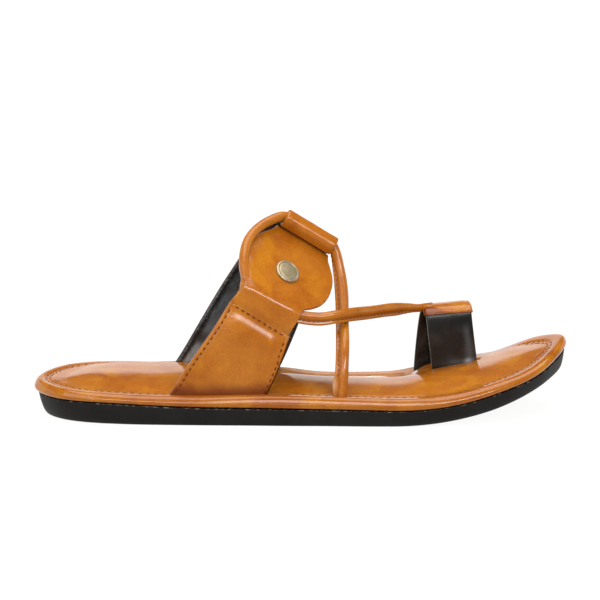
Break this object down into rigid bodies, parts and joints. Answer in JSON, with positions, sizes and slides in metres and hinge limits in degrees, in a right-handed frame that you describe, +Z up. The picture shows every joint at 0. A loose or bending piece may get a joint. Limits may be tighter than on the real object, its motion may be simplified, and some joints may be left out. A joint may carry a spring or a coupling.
{
  "type": "toe-loop slipper",
  "caption": "Right-foot slipper: padded footbed on a rubber sole, leaning instep straps tied by a rolled strap round a riveted disc, and a band over the big toe.",
  "frame": {"origin": "on the floor under the sole, half way along its length, on the line through the centre of the heel", "axes": "+X to the toe, +Y to the inner (big toe) side, +Z up"},
  "size_m": [0.282, 0.0902, 0.108],
  "materials": {
    "sole_rubber": "matt moulded rubber",
    "tan_leather": "glossy tan, slightly mottled",
    "black_lining": "smooth black, semi-gloss",
    "antique_brass": "antique, brushed"
  },
  "bodies": {
    "root": {"outsole": "sole_rubber", "footbed": "tan_leather", "strap_lateral": "tan_leather", "strap_medial": "tan_leather", "keeper_disc": "tan_leather", "rivet": "antique_brass", "rolled_strap": "tan_leather", "toe_loop": "black_lining", "toe_sleeve": "tan_leather"}
  },
  "joints": []
}
